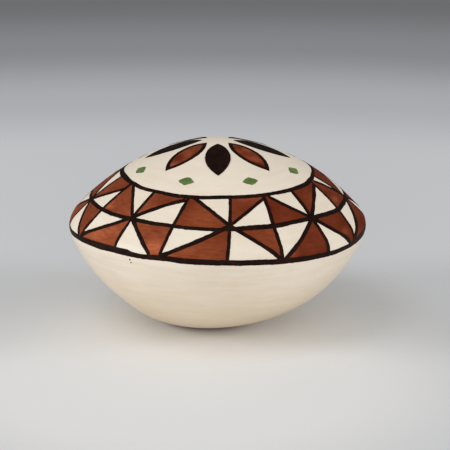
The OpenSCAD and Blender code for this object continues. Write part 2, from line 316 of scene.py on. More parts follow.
def greenPaint():
    material, tree, coords = startMaterial("green_mineral_paint")
    patch = addNode(tree, "ShaderNodeTexNoise", {
        "Vector": coords, "Scale": scaleFor(greenLook["patch"]), "Detail": 3.0})
    thinned = addNode(tree, "ShaderNodeMapRange", {"Value": patch.outputs[0], **greenLook["thinOver"]})
    colour = addNode(tree, "ShaderNodeMix", {
        mixShare: thinned.outputs[0], mixColourA: linear(greenLook["full"]),
        mixColourB: linear(greenLook["thin"])}, data_type="RGBA")
    endMaterial(tree, addNode(tree, "ShaderNodeBsdfPrincipled", {
        "Base Color": colour.outputs[mixedColour], **greenLook["finish"]}))
    return material


# Bare earthenware, scraped and low fired: buff, dull and gritty, with pale grains of temper
clayLook = {
    "buff": "#b98f6c", "grey": "#a07e62", "temper": "#d2b595", "cloud": 9.0, "grain": 0.6,
    "temperOver": {"From Min": 0.58, "From Max": 0.7},
    "tooth": {"Strength": 0.5, "Distance": 0.08 * mm},
    "finish": {"Roughness": 0.85, "IOR": 1.45},
}


def bareClay():
    material, tree, coords = startMaterial("low_fired_buff_earthenware")
    cloud = addNode(tree, "ShaderNodeTexNoise", {
        "Vector": coords, "Scale": scaleFor(clayLook["cloud"]), "Detail": 4.0})
    body = addNode(tree, "ShaderNodeMix", {
        mixShare: cloud.outputs[0], mixColourA: linear(clayLook["buff"]),
        mixColourB: linear(clayLook["grey"])}, data_type="RGBA")
    grain = addNode(tree, "ShaderNodeTexNoise", {
        "Vector": coords, "Scale": scaleFor(clayLook["grain"]), "Detail": 3.0})
    tempered = addNode(tree, "ShaderNodeMapRange", {"Value": grain.outputs[0], **clayLook["temperOver"]})
    colour = addNode(tree, "ShaderNodeMix", {
        mixShare: tempered.outputs[0], mixColourA: body.outputs[mixedColour],
        mixColourB: linear(clayLook["temper"])}, data_type="RGBA")
    tooth = addNode(tree, "ShaderNodeBump", {"Height": grain.outputs[0], **clayLook["tooth"]})
    endMaterial(tree, addNode(tree, "ShaderNodeBsdfPrincipled", {
        "Base Color": colour.outputs[mixedColour], "Normal": tooth.outputs[0], **clayLook["finish"]}))
    return material


slipWhite, brownBlack, redBrown, leafGreen, buffClay = (
    polishedSlip(), darkPaint(), redPaint(), greenPaint(), bareClay())
print("materials ready")


# Ends the making of a piece: gives it the hand-made unevenness, its shading, material, body and node
sharpFrom = math.radians(40)


def finishPiece(name, bm, material, node):
    for vert in bm.verts:
        vert.co = handFormed(vert.co)
    for face in bm.faces:
        face.smooth = True
    for edge in bm.edges:
        edge.smooth = edge.calc_face_angle(0) < sharpFrom
    mesh = bpy.data.meshes.new(name)
    bm.to_mesh(mesh)
    bm.free()
    mesh.materials.append(material)
    piece = bpy.data.objects.new(name, mesh)
    scene.collection.objects.link(piece)
    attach(piece, "root")
    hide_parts(node)
    print(name, "made,", len(mesh.polygons), "faces")


# Seed hole, high on the far side, square to the surface
mouth = {
    "off": 14.0, "r": 3.5, "segments": 72,  # distance from the axis, and half its width
    "lip": 0.35, "lipSteps": 5,  # the rounding of its edge
    "coat": 0.06, "coatDepth": 1.2,  # the slip stands this far into the hole, and goes this far down it
}
mouthSlope = math.acos((mouth["off"] - domeC.x) / form["domeR"])
mouthFrame = Matrix.Translation(onPlan(0, mouth["off"])) @ Matrix.Rotation(mouthSlope - math.pi / 2, 4, "X")
mouthAxis = (mouthFrame.to_3x3() @ Vector((0, 0, 1))).normalized()


def offMouthAxis(point):
    offset = point - mouthFrame.translation
    return (offset - offset.dot(mouthAxis) * mouthAxis).length / mm


# Edges between these vertices, and faces round them, each once and always in the same order
def edgesOf(verts):
    inside = set(verts)
    edges = (edge for vert in verts for edge in vert.link_edges if set(edge.verts) <= inside)
    return list(dict.fromkeys(edges))


def facesOf(verts):
    return list(dict.fromkeys(face for vert in verts for face in vert.link_faces))


def vertsIn(geom):
    return [part for part in geom if isinstance(part, bmesh.types.BMVert)]


# White slip: the profile is swept arc by arc, spun round the axis and opened at the hole
slip = {
    "bowlSteps": 48, "shoulderSteps": 16, "domeSteps": 48, "crownSteps": 12, "segments": 256,
    "weld": 0.002, "cutBack": 1.3,  # the faces this near to the hole give way to its own
    "wave": 0.8, "waveOver": 5.0, "waveUpTo": 6.0,  # the wiped edge at the foot wanders, less so higher up
    "waveFractal": (1, 2, 3),  # fall, gap and number of the octaves of that wander
}


def sweepSlip(bm):
    slopes = [(bowlC, -math.pi / 2 + (slipFoot - potBottom) / bowlR, bowlTop, slip["bowlSteps"]),
              (shoulderC, bowlTop, domeFoot, slip["shoulderSteps"]),
              (domeC, domeFoot, domeTop, slip["domeSteps"]),
              (crownC, domeTop, math.pi / 2, slip["crownSteps"])]
    last = [bm.verts.new(onPot(0, slipFoot))]
    for centre, start, end, steps in slopes:
        swept = bmesh.ops.spin(
            bm, geom=last, cent=Vector((0, -centre.x, widestZ + centre.y)) * mm, axis=(-1, 0, 0),
            angle=end - start, steps=steps, use_duplicate=False)
        last = vertsIn(swept["geom_last"])
    bmesh.ops.spin(
        bm, geom=bm.verts[:] + bm.edges[:], cent=(0, 0, 0), axis=(0, 0, 1), angle=2 * math.pi,
        steps=slip["segments"], use_merge=True, use_duplicate=False)
    bmesh.ops.remove_doubles(bm, verts=bm.verts, dist=slip["weld"] * mm)


def wipeFoot(bm):
    for vert in bm.verts:
        p = vert.co / mm
        if p.z < widestZ:
            along = potBottom + bowlR * math.atan2(math.hypot(p.x, p.y), widestZ + bowlC.y - p.z)
            wave = slip["wave"] * noise.fractal(p / slip["waveOver"], *slip["waveFractal"])
            along += wave * max(0, 1 - (along - slipFoot) / slip["waveUpTo"])
            if along < slipFoot + slip["waveUpTo"]:
                vert.co = onPot(math.degrees(math.atan2(p.x, -p.y)), along)


def openMouth(bm):
    cutR = mouth["r"] + slip["cutBack"]
    gone = [face for face in bm.faces
            if offMouthAxis(face.calc_center_median()) < cutR and face.calc_center_median().z > widestZ * mm]
    bmesh.ops.delete(bm, geom=gone, context="FACES")
    rim = [edge for edge in bm.edges if edge.is_boundary and edge.verts[0].co.z > widestZ * mm]
    circle = bmesh.ops.create_circle(
        bm, segments=mouth["segments"], radius=(mouth["r"] + mouth["lip"]) * mm, matrix=mouthFrame)
    ring = circle["verts"]
    for vert in ring:
        vert.co = onPlan(vert.co.x / mm, vert.co.y / mm)
    bmesh.ops.bridge_loops(bm, edges=rim + edgesOf(ring))

    # the slip turns in over the lip and lines the top of the hole
    steps = [(mouth["lip"] * (1 - math.sin(turn)) - mouth["coat"], mouth["lip"] * (1 - math.cos(turn)))
             for turn in (math.pi / 2 * i / mouth["lipSteps"] for i in range(1, mouth["lipSteps"] + 1))]
    steps.append((-mouth["coat"], mouth["coatDepth"]))
    reach, deep = mouth["lip"], 0.0
    for nextReach, nextDeep in steps:
        turnedIn = bmesh.ops.extrude_edge_only(bm, edges=edgesOf(ring))
        ring = vertsIn(turnedIn["geom"])
        narrower = (mouth["r"] + nextReach) / (mouth["r"] + reach)
        bmesh.ops.scale(bm, verts=ring, vec=(narrower, narrower, 1), space=mouthFrame.inverted())
        bmesh.ops.translate(bm, verts=ring, vec=(deep - nextDeep) * mm * mouthAxis)
        reach, deep = nextReach, nextDeep


def whiteSlip():
    bm = bmesh.new()
    sweepSlip(bm)
    wipeFoot(bm)
    openMouth(bm)
    bmesh.ops.recalc_face_normals(bm, faces=bm.faces)
    bmesh.ops.solidify(bm, geom=bm.faces[:], thickness=form["slipT"] * mm)
    finishPiece("whiteSlip", bm, slipWhite, "white_slip")


# A flat strip two layers thick, to be laid on the pot: x and y from -1 to 1, z 0 below and 1 on top
def flatStrip(bm, longSteps, wideSteps, isRing=False):
    below = bmesh.ops.create_grid(bm, x_segments=longSteps, y_segments=wideSteps, size=1)["verts"]
    above = vertsIn(bmesh.ops.extrude_face_region(bm, geom=facesOf(below))["geom"])
    bmesh.ops.translate(bm, verts=above, vec=(0, 0, 1))
    if isRing:
        ends = [face for face in facesOf(below)
                if all(abs(abs(vert.co.x) - 1) < tiny for vert in face.verts)]
        bmesh.ops.delete(bm, geom=ends, context="FACES_ONLY")
    return below + above


stripWeld = 0.0005  # millimetres


def closeUp(bm):
    bmesh.ops.remove_doubles(bm, verts=bm.verts, dist=stripWeld * mm)
    bmesh.ops.recalc_face_normals(bm, faces=bm.faces)


# Bowl: the foot's disc and the two wall coils, pinched from buff clay
coils = {
    "segments": 160, "steps": 14, "footCuts": 11,
    "footRound": 0.4, "footRoundSteps": 3,
    "footRoundFrom": 0.98,  # the foot's edge starts at this share of its radius
}
wallJoint = bowlEnd - form["wallCoilH"]
baseRim = wallJoint - form["wallCoilH"]


def wallCoil(name, start, end, node):
    bm = bmesh.new()
    for vert in flatStrip(bm, coils["segments"], coils["steps"], isRing=True):
        along = start + (end - start) * (vert.co.y + 1) / 2
        lift = -form["slipT"] - form["wallT"] * (1 - vert.co.z)
        vert.co = onPot(180 * vert.co.x, along, lift)
    closeUp(bm)
    finishPiece(name, bm, buffClay, node)


def baseBowl():
    bm = bmesh.new()
    cent = Vector((0, 0, bowlZ)) * mm
    rimSlope = (baseRim - potBottom) / bowlR
    footSlope = math.asin(form["footR"] / clayBowlR)
    innerR = clayBowlR - form["wallT"]
    floorSlope = math.acos((bowlZ - form["floorT"]) / innerR)
    outer = [bm.verts.new((0, -form["footR"] * mm, 0))]
    inner = [bm.verts.new((0, -innerR * math.sin(floorSlope) * mm, form["floorT"] * mm))]
    rims = []
    for start, slope in ((outer, footSlope), (inner, floorSlope)):
        swept = bmesh.ops.spin(bm, geom=start, cent=cent, axis=(-1, 0, 0), angle=rimSlope - slope,
                               steps=coils["steps"], use_duplicate=False)
        rims += vertsIn(swept["geom_last"])
    bm.edges.new(rims)
    under = bm.edges.new((outer[0], bm.verts.new((0, 0, 0))))
    bm.edges.new((inner[0], bm.verts.new((0, 0, form["floorT"] * mm))))
    bmesh.ops.subdivide_edges(bm, edges=[under], cuts=coils["footCuts"])
    bmesh.ops.spin(bm, geom=bm.verts[:] + bm.edges[:], cent=(0, 0, 0), axis=(0, 0, 1), angle=2 * math.pi,
                   steps=coils["segments"], use_merge=True, use_duplicate=False)
    closeUp(bm)
    roundFrom = coils["footRoundFrom"] * form["footR"] * mm
    footEdge = [edge for edge in bm.edges
                if all(vert.co.z < tiny and vert.co.length > roundFrom for vert in edge.verts)]
    bmesh.ops.bevel(bm, geom=footEdge, offset=coils["footRound"] * mm, affect="EDGES",
                    segments=coils["footRoundSteps"], profile=0.5, material=-1)
    finishPiece("baseBowl", bm, buffClay, "base_bowl")


whiteSlip()
baseBowl()
wallCoil("wallCoilLower", baseRim, wallJoint, "wall_coil_lower")
wallCoil("wallCoilUpper", wallJoint, bowlEnd, "wall_coil_upper")
for nodeName in ("shoulder_coil", "dome_coil", "mouth_coil", "crown_cap"):
    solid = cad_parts[nodeName]
    solid.data.materials.clear()
    solid.data.materials.append(buffClay)
print("body made")


# Lines round the pot: turn, height of the middle along the surface, width, as the brush wandered.
# Two specks of paint fell from the brush below the line at the shoulder: turn, height, size
shoulderLine = {
    "points": [
        (-75, 0.0, 1.15), (-66, 0.3, 1.1), (-58, 0.56, 1.22), (-50, 0.7, 1.4), (-43, 0.79, 1.28),
        (-36, 0.77, 1.38), (-33.5, 0.55, 1.05), (-30, 0.5, 1.0), (-20, 0.68, 1.1), (-10, 0.42, 1.2),
        (0, 0.25, 1.15), (12, 0.05, 1.15), (25, -0.35, 1.2), (38, -0.66, 1.15), (50, -0.9, 1.1),
        (60, -0.8, 1.05), (66, -0.5, 1.35), (72, -0.3, 1.5), (82, 0.0, 1.3), (100, 0.2, 1.3),
        (135, 0.1, 1.2), (170, 0.4, 1.35), (205, 0.2, 1.15), (245, 0.3, 1.2)],
    "drops": [(-34.5, -0.85, 0.45), (-34.2, -1.65, 0.4)], "dropFlat": 0.4, "dropRoundness": 2,
}
midLine = {
    "points": [
        (-72, 9.6, 0.9), (-55, 9.57, 0.9), (-38, 9.68, 1.0), (-25, 9.58, 0.9), (-10, 9.25, 0.85),
        (0, 9.05, 0.85), (15, 9.27, 1.2), (25, 9.15, 1.15), (35, 9.45, 1.0), (50, 9.4, 1.05),
        (65, 8.9, 1.05), (75, 9.2, 1.0), (84, 9.45, 0.95), (115, 9.5, 1.0), (150, 9.4, 0.9),
        (185, 9.65, 1.1), (220, 9.45, 0.95), (255, 9.6, 0.85)],
    "drops": [],
}
crownLine = {
    "points": [
        (-75, 19.9, 1.2), (-60, 19.62, 0.95), (-48, 19.15, 0.9), (-38, 19.12, 0.9), (-20, 18.7, 1.05),
        (-10, 18.75, 1.0), (5, 18.94, 1.0), (18, 18.8, 1.0), (30, 18.85, 0.9), (42, 18.83, 1.0),
        (60, 18.95, 1.05), (72, 19.4, 1.0), (85, 19.95, 0.8), (110, 20.0, 1.0), (150, 19.4, 0.9),
        (190, 19.0, 1.0), (230, 19.2, 0.95), (260, 19.6, 1.1)],
    "drops": [],
}


def lineAt(line, turn):
    points = line["points"]
    turn = (turn - points[0][0]) % 360 + points[0][0]
    points = points + [(points[0][0] + 360,) + points[0][1:]]
    i = max(i for i in range(len(points) - 1) if points[i][0] <= turn)
    (t0, middle0, width0), (t1, middle1, width1) = points[i], points[i + 1]
    share = (turn - t0) / (t1 - t0)
    share = share * share * (3 - 2 * share)
    return middle0 + share * (middle1 - middle0), width0 + share * (width1 - width0)


def middleOf(line, turn):
    return lineAt(line, turn)[0]


# Brush: paint stands a little off the slip, thickest along the middle of a stroke
brush = {
    "top": 0.09, "edge": 0.05, "sink": 0.06, "flatness": 4,
    "steps": 44, "across": 6, "ringSteps": 900,
    "wander": 0.1, "wanderOver": 3.5,  # the path drifts by this much over this length
    "ragged": 0.1, "raggedOver": 0.9,  # and the edges by this much
    "taper": 0.4, "blunt": 0.35,  # length of the rounded ends, and the share of the width left there
    "press": 0.25,  # how much the width changes along a stroke
    "raggedNoise": 5, "pressNoise": 9,  # places in the noise, away from the path's own
    "overrun": 0.5,  # the strokes of a hub start a little before it
    "glance": 0.01,  # a stroke's direction is taken over this share of it, before and behind
    "fullness": 1.2,  # share of its given width that a line round the pot takes
    "panelSeeds": 20, "upperSeeds": 7,  # each panel's strokes wander in their own way, and each row's
}


def paintLift(across, layer):
    crown = brush["edge"] + (brush["top"] - brush["edge"]) * (1 - across ** brush["flatness"])
    return crown if layer > 0.5 else -brush["sink"]


def drift(place, across, seed):
    path = brush["wander"] * noise.noise(Vector((place / brush["wanderOver"], seed, 0)))
    edgeAt = Vector((place / brush["raggedOver"], seed, brush["raggedNoise"] + across))
    edge = brush["ragged"] * noise.noise(edgeAt)
    return path + across * edge


def ringLine(name, line, node, seed):
    bm = bmesh.new()
    for vert in flatStrip(bm, brush["ringSteps"], brush["across"], isRing=True):
        turn, across, lift = 180 * vert.co.x, vert.co.y, paintLift(vert.co.y, vert.co.z)
        middle, width = lineAt(line, turn)
        place = math.radians(180 - abs(turn)) * profile(middle)[0]
        along = middle + across * brush["fullness"] * width / 2 + drift(place, across, seed)
        vert.co = onPot(turn, along, lift)
    for turn, along, size in line["drops"]:
        dot = bmesh.ops.create_icosphere(
            bm, subdivisions=line["dropRoundness"], radius=size / 2 * mm)["verts"]
        bmesh.ops.scale(bm, verts=dot, vec=(1, line["dropFlat"], 1))
        bmesh.ops.rotate(bm, verts=dot, cent=(0, 0, 0), matrix=Matrix.Rotation(math.radians(turn), 3, "Z"))
        bmesh.ops.translate(bm, verts=dot, vec=onPot(turn, along))
    closeUp(bm)
    finishPiece(name, bm, brownBlack, node)


ringLine("shoulderLine", shoulderLine, "shoulder_line", seed=1)
ringLine("midLine", midLine, "mid_line", seed=2)
ringLine("crownLine", crownLine, "crown_line", seed=3)


# Panels of the band. Each has an edge line (turn at the crown line, the mid line and the foot, width), a hub
# with a stroke up and one down (turn, width), and four slanting strokes from the hub (turn and height of the
# far end, bow, width). Thin says how much the panel's red was let down with water
panels = [
    {"thin": 0.4, "edge": (-60.5, -62.7, -64.1, 1.05),
     "hub": (-41.1, 10.1), "up": (-38.4, 0.93), "down": (-42.0, 0.87),
     "upLeft": (-58.3, 19.2, 1.2, 0.87), "upRight": (-17.2, 17.6, 0.9, 1.15),
     "downLeft": (-65.2, 1.0, -0.05, 1.15), "downRight": (-26.0, 1.1, 0.5, 1.05)},
    {"thin": 0.27, "edge": (-16.0, -19.6, -22.0, 0.85),
     "hub": (5.2, 10.1), "up": (7.0, 0.8), "down": (3.4, 0.92),
     "upLeft": (-13.6, 18.7, 0.6, 1.0), "upRight": (25.2, 17.6, 0.4, 0.85),
     "downLeft": (-21.5, 1.1, 0.0, 1.18), "downRight": (23.6, 0.45, 0.5, 1.05)},
    {"thin": 0.04, "edge": (26.2, 24.6, 24.4, 1.0),
     "hub": (45.45, 9.6), "up": (45.8, 1.05), "down": (46.0, 1.12),
     "upLeft": (28.3, 18.4, -0.05, 1.05), "upRight": (68.6, 17.9, 0.95, 1.05),
     "downLeft": (25.0, -0.1, 0.1, 1.02), "downRight": (61.0, -0.2, -0.25, 1.2)},
    {"thin": 0.12, "edge": (68.4, 66.4, 63.4, 1.0),
     "hub": (85.5, 10.2), "up": (79.6, 0.95), "down": (91.0, 1.0),
     "upLeft": (71.3, 18.7, 0.7, 1.1), "upRight": (108.0, 17.8, 0.9, 0.9),
     "downLeft": (63.6, 0.0, -0.35, 1.4), "downRight": (104.0, 0.8, 0.1, 1.0)},
    {"thin": 0.3, "edge": (109.0, 107.5, 106.5, 1.05),
     "hub": (125.5, 9.7), "up": (126.5, 0.9), "down": (124.5, 1.0),
     "upLeft": (113.0, 19.3, 0.6, 1.0), "upRight": (144.5, 17.9, 0.6, 1.1),
     "downLeft": (107.0, 0.9, 0.2, 0.9), "downRight": (139.0, 0.7, 0.1, 1.1)},
    {"thin": 0.2, "edge": (145.0, 143.0, 141.2, 0.9),
     "hub": (162.0, 9.6), "up": (163.6, 1.1), "down": (160.7, 0.9),
     "upLeft": (149.5, 18.8, 0.8, 0.95), "upRight": (182.6, 17.7, 0.4, 1.05),
     "downLeft": (142.0, 0.8, 0.3, 1.15), "downRight": (176.5, 0.8, 0.0, 1.0)},
    {"thin": 0.35, "edge": (183.0, 181.0, 179.5, 1.0),
     "hub": (200.0, 9.7), "up": (201.2, 0.85), "down": (199.0, 1.1),
     "upLeft": (187.6, 18.7, 0.5, 1.1), "upRight": (220.5, 17.8, 0.6, 0.95),
     "downLeft": (180.0, 0.9, 0.2, 1.05), "downRight": (214.5, 0.8, 0.15, 1.2)},
    {"thin": 0.25, "edge": (221.0, 219.0, 217.4, 1.1),
     "hub": (238.0, 9.6), "up": (239.4, 1.0), "down": (236.6, 0.95),
     "upLeft": (225.5, 18.9, 0.9, 0.9), "upRight": (258.6, 17.7, 0.5, 1.0),
     "downLeft": (218.0, 0.9, 0.3, 1.1), "downRight": (252.5, 0.9, 0.1, 1.05)},
    {"thin": 0.3, "edge": (259.0, 257.5, 255.8, 0.95),
     "hub": (278.6, 9.7), "up": (281.0, 1.0), "down": (277.4, 0.9),
     "upLeft": (263.5, 19.2, 0.8, 1.05), "upRight": (298.9, 17.3, 0.0, 1.0),
     "downLeft": (256.5, 1.0, 0.3, 1.0), "downRight": (293.6, 0.8, 0.2, 1.05)},
]


def bowAt(bow, share):
    return 4 * bow * share * (1 - share)  # none at the ends, all of it half way


def slant(panel, name, turn):
    (hubTurn, hubAlong), (endTurn, endAlong, bow) = panel["hub"], panel[name][:3]
    share = (turn - hubTurn) / (endTurn - hubTurn)
    return hubAlong + share * (endAlong - hubAlong) + bowAt(bow, share)


def brushStroke(bm, start, end, bow, width, seed, overrun=0.0):
    def path(share):
        return (start[0] + share * (end[0] - start[0]),
                start[1] + share * (end[1] - start[1]) + bowAt(bow, share))

    out = profile((start[1] + end[1]) / 2)[0]
    length = math.hypot(math.radians(end[0] - start[0]) * out, end[1] - start[1])
    for vert in flatStrip(bm, brush["steps"], brush["across"]):
        across, lift = vert.co.y, paintLift(vert.co.y, vert.co.z)
        place = (vert.co.x + 1) / 2 * (length + overrun) - overrun
        share = place / length
        turn, along = path(share)
        out = profile(along)[0]
        ahead = Vector(path(share + brush["glance"])) - Vector(path(share - brush["glance"]))
        way = Vector((math.radians(ahead.x) * out, ahead.y)).normalized()
        ended = min(1, min(place + overrun, length - place) / brush["taper"])
        half = width / 2 * max(brush["blunt"], math.sqrt(1 - (1 - ended) ** 2))
        pressAt = Vector((place / brush["wanderOver"], seed, brush["pressNoise"]))
        half *= 1 + brush["press"] * noise.noise(pressAt)
        aside = across * half + drift(place, across, seed)
        vert.co = onPot(turn - math.degrees(aside * way.y / out), along + aside * way.x, lift)


def bandStrokes(name, node, isUpper):
    line, way = (crownLine, "up") if isUpper else (shoulderLine, "down")
    bm = bmesh.new()
    for i, panel in enumerate(panels):
        edgeTop, edgeMid, edgeFoot, edgeWidth = panel["edge"]
        edgeEnd = edgeTop if isUpper else edgeFoot
        turn, width = panel[way]
        seed = brush["panelSeeds"] * i + (brush["upperSeeds"] if isUpper else 0)
        brushStroke(bm, (edgeMid, middleOf(midLine, edgeMid)), (edgeEnd, middleOf(line, edgeEnd)),
                    0, edgeWidth, seed)
        brushStroke(bm, panel["hub"], (turn, middleOf(line, turn)), 0, width, seed + 1, brush["overrun"])
        for j, side in enumerate(("Left", "Right")):
            endTurn, endAlong, bow, width = panel[way + side]
            brushStroke(bm, panel["hub"], (endTurn, endAlong), bow, width, seed + 2 + j, brush["overrun"])
    closeUp(bm)
    finishPiece(name, bm, brownBlack, node)


bandStrokes("upperStrokes", "upper_strokes", True)
bandStrokes("lowerStrokes", "lower_strokes", False)


# Red fields of the band: they run under the strokes that bound them, and are thin in places
field = {
    "steps": 18, "top": 0.035, "sink": 0.05,
    "within": 0.985, "least": 0.05,  # share of its outline that a field fills, and its least height
    "thinChange": 0.18, "thinSpread": 7.0, "thinNoise": 40,  # how the coat varies, over what length and where
    "spotFlat": 0.6,  # height of a thin spot as a share of its width
}
thinSpots = [  # turn, height along the surface, size, strength
    (-53, 3.2, 4.2, 0.5), (-25, 3.2, 2.4, 0.8), (-46, 5.5, 2.0, 0.4), (-12, 3.0, 2.6, 0.3),
    (-18, 1.6, 1.6, 0.4), (29, 1.4, 1.6, 0.4), (59.5, 3.2, 1.6, 0.3), (55, 14.5, 3.0, 0.12),
    (-60, 11.3, 1.6, 0.4), (17, 15.0, 3.5, -0.2), (-28, 16.0, 5.0, -0.28), (72, 11.5, 2.0, 0.4),
    (112, 2.5, 2.2, 0.6), (133, 12.5, 1.8, 0.4), (150, 3.0, 2.4, 0.5), (170, 13.0, 1.7, 0.4),
    (190, 2.2, 2.5, 0.6), (209, 7.0, 1.9, 0.4), (228, 3.0, 2.1, 0.5), (246, 13.2, 1.9, 0.4),
    (268, 2.4, 2.2, 0.6)]


def coatLift(layer, top=field["top"]):
    return top if layer > 0.5 else -field["sink"]


def thinness(turn, along, coat):
    out = profile(along)[0]
    noiseAt = onPot(turn, along) / mm / field["thinSpread"] + Vector((0, 0, field["thinNoise"]))
    thin = coat + field["thinChange"] * noise.noise(noiseAt)
    for spotTurn, spotAlong, size, strength in thinSpots:
        aside = math.radians((turn - spotTurn + 180) % 360 - 180) * out / size
        above = (along - spotAlong) / (field["spotFlat"] * size)
        thin += strength * math.exp(-(aside ** 2 + above ** 2))
    return max(0, min(1, thin))


def paintField(bm, wash, coat, left, right, floor, ceiling):
    for vert in flatStrip(bm, field["steps"], field["steps"]):
        share, rise = (field["within"] * vert.co.x + 1) / 2, (field["within"] * vert.co.y + 1) / 2
        turn = left(rise) + share * (right(rise) - left(rise))
        foot = floor(turn)
        along = foot + rise * max(field["least"], ceiling(turn) - foot)
        vert[wash] = thinness(turn, along, coat)
        vert.co = onPot(turn, along, coatLift(vert.co.z))


# Sides of a field: one that leans from start to end as it rises, and one that stays at its turn
def between(start, end):
    return lambda rise: start + rise * (end - start)


def fixedAt(turn):
    return lambda rise: turn


def redFields(name, node, isUpper):
    bm = bmesh.new()
    wash = bm.verts.layers.float.new("thinPaint")
    for i, panel in enumerate(panels):
        hubTurn, coat = panel["hub"][0], panel["thin"]
        edgeTop, edgeMid = panel["edge"][:2]
        fullTurn = 360 if i + 1 == len(panels) else 0
        nextEdge = panels[(i + 1) % len(panels)]["edge"]
        nextTop, nextMid, nextFoot = (turn + fullTurn for turn in nextEdge[:3])
        if isUpper:
            slantEnd = panel["upLeft"][0]
            paintField(bm, wash, coat, between(edgeMid, edgeTop), fixedAt(hubTurn),
                       lambda turn: middleOf(midLine, turn),
                       lambda turn: min(middleOf(crownLine, turn), slant(panel, "upLeft", turn))
                       if turn > slantEnd else middleOf(crownLine, turn))
            paintField(bm, wash, coat, between(hubTurn, panel["up"][0]), fixedAt(nextTop),
                       lambda turn: slant(panel, "upRight", max(hubTurn, turn)),
                       lambda turn: middleOf(crownLine, turn))
        else:
            slantEnd = panel["downRight"][0]
            paintField(bm, wash, coat, fixedAt(hubTurn), between(nextFoot, nextMid),
                       lambda turn: max(middleOf(shoulderLine, turn), slant(panel, "downRight", turn))
                       if turn < slantEnd else middleOf(shoulderLine, turn),
                       lambda turn: middleOf(midLine, turn))
            paintField(bm, wash, coat, fixedAt(panel["downLeft"][0]), between(panel["down"][0], hubTurn),
                       lambda turn: middleOf(shoulderLine, turn),
                       lambda turn: slant(panel, "downLeft", min(hubTurn, turn)))
    closeUp(bm)
    finishPiece(name, bm, redBrown, node)


redFields("upperRedTriangles", "upper_red_triangles", True)
redFields("lowerRedTriangles", "lower_red_triangles", False)


# Rosette on the crown: leaves in turn dark and red, green lozenges outside them, and a line round the hole
rosette = {
    "places": 8, "start": 4.0, "length": 14.5, "gap": 2.2, "steps": 30, "across": 10,
    "drawn": 0.12, "drawnOver": 4.0,  # the leaves are bent by this much over this length
    "swing": 0.02, "swingStep": 2.3,  # and stand a little off their places, in radians, each in its own way
}
leafTurn = 2 * math.pi / rosette["places"]
leafMiddle = rosette["start"] + rosette["length"] / 2
leafW = 2 * leafMiddle * math.sin(leafTurn / 2) - rosette["gap"]
leafArcR = (rosette["length"] ** 2 + leafW ** 2) / (4 * leafW)


# Point of the rosette: distance from the pot's axis along a leaf's place, and to the side of it
def onLeaf(place, out, aside, lift, seed):
    over = rosette["drawnOver"]
    aside += rosette["drawn"] * noise.noise(Vector((out / over, aside / over, seed)))
    turn = math.pi / 2 + place * leafTurn + rosette["swing"] * math.sin(rosette["swingStep"] * seed)
    return onPlan(out * math.cos(turn) - aside * math.sin(turn),
                  out * math.sin(turn) + aside * math.cos(turn), lift)


def leafHalf(out, inset=0.0):
    fromMiddle = abs(out - leafMiddle)
    return math.sqrt(max(0, (leafArcR - inset) ** 2 - fromMiddle ** 2)) - (leafArcR - leafW / 2)


# The brush left a leaf's edges uneven, less so towards its tips
def unevenEdge(out, side, place):
    ragged = brush["ragged"] * noise.noise(Vector((out / brush["raggedOver"], side, place)))
    return 1 + ragged / (leafW / 2)


petalWash = {"thin": 0.25, "change": 0.5, "over": 3.0}  # how thin the red is, and how that varies


def leafFill(bm, place, inset, top, wash=None):
    reach = math.sqrt((leafArcR - inset) ** 2 - (leafArcR - leafW / 2) ** 2)
    for vert in flatStrip(bm, rosette["steps"], rosette["across"]):
        out = leafMiddle + reach * math.sin(math.pi / 2 * vert.co.x)
        aside = vert.co.y * max(0, leafHalf(out, inset)) * unevenEdge(out, vert.co.y, place)
        if wash:
            noiseAt = Vector((out / petalWash["over"], aside / petalWash["over"], place))
            vert[wash] = max(0, petalWash["thin"] + petalWash["change"] * noise.noise(noiseAt))
        vert.co = onLeaf(place, out, aside, coatLift(vert.co.z, top), place)


def darkPetals():
    bm = bmesh.new()
    for place in range(2, rosette["places"], 2):
        leafFill(bm, place, 0, brush["top"])
    closeUp(bm)
    finishPiece("darkPetals", bm, brownBlack, "dark_petals")


# Line round a red petal: the red runs under it up to a share of its width, it stands a little outside the
# leaf, and its two sides cross at the tips
petalLine = {"width": 1.0, "redUnder": 0.6, "outside": 0.03, "cross": 0.25}


def redPetals():
    bm = bmesh.new()
    wash = bm.verts.layers.float.new("thinPaint")
    for place in range(1, rosette["places"], 2):
        leafFill(bm, place, petalLine["redUnder"] * petalLine["width"], field["top"], wash)
    closeUp(bm)
    finishPiece("redPetals", bm, redBrown, "red_petals")


def redPetalLines():
    bm = bmesh.new()
    for place in range(1, rosette["places"], 2):
        for side in (-1, 1):
            for vert in flatStrip(bm, rosette["steps"], brush["across"]):
                out = leafMiddle + rosette["length"] / 2 * math.sin(math.pi / 2 * vert.co.x)
                outer = leafHalf(out) * unevenEdge(out, side, place) + petalLine["outside"]
                inner = max(-petalLine["cross"], leafHalf(out, petalLine["width"]))
                aside = side * ((outer + inner) / 2 + vert.co.y * (outer - inner) / 2)
                vert.co = onLeaf(place, out, aside, paintLift(vert.co.y, vert.co.z), place)
    closeUp(bm)
    finishPiece("redPetalLines", bm, brownBlack, "red_petal_lines")


# Lozenges between the leaves' places, with soft corners and uneven edges
lozenge = {
    "at": 20.8, "length": 4.8, "width": 3.0, "soft": 0.14, "cornerPower": 4,
    "ragged": 0.12, "raggedScale": 2, "seed": 30,
}


